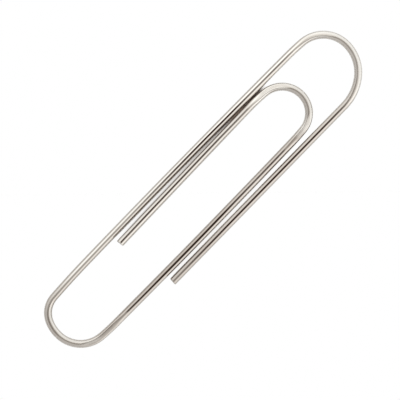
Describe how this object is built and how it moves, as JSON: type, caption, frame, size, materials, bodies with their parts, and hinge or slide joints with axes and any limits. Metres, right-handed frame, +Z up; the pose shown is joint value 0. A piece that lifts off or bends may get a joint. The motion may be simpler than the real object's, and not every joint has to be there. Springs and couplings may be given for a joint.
{
  "type": "paper clip",
  "caption": "Flat paper clip bent from one round plated steel wire into nested rounded loops; the bends spring open so paper slides between the tongue and the outer loop.",
  "frame": {"origin": "bottom centre of the clip's box, on the surface that it lies on", "axes": "+Y along the clip from the heel towards the crown, +X across it towards the outer leg, +Z up, square to the clip's plane"},
  "size_m": [0.0102, 0.05, 0.0014],
  "materials": {
    "plated_wire": "bright plated drawn steel wire"
  },
  "bodies": {
    "long_side": {"crown_long_bend": "plated_wire", "long_leg": "plated_wire", "heel_long_bend": "plated_wire"},
    "outer_arm": {"crown_outer_bend": "plated_wire", "outer_leg": "plated_wire"},
    "inner_side": {"heel_inner_bend": "plated_wire", "inner_leg": "plated_wire", "tongue_inner_bend": "plated_wire"},
    "tongue_arm": {"tongue_free_bend": "plated_wire", "tongue_leg": "plated_wire"}
  },
  "joints": [
    {"name": "crown_flex", "type": "hinge", "parent": "long_side", "child": "outer_arm", "pos_m": [-0.00048, 0.02453, 0.00047], "axis": [-1, 0, 0], "range_deg": [-6, 6], "stiffness_Nm_per_rad": 0.34},
    {"name": "heel_flex", "type": "hinge", "parent": "long_side", "child": "inner_side", "pos_m": [-0.00077, -0.02453, 0.00047], "axis": [1, 0, 0], "range_deg": [-10, 10], "stiffness_Nm_per_rad": 0.22},
    {"name": "tongue_flex", "type": "hinge", "parent": "inner_side", "child": "tongue_arm", "pos_m": [-0.00013, 0.01644, 0.00047], "axis": [-1, 0, 0], "range_deg": [-6, 6], "stiffness_Nm_per_rad": 0.45}
  ]
}
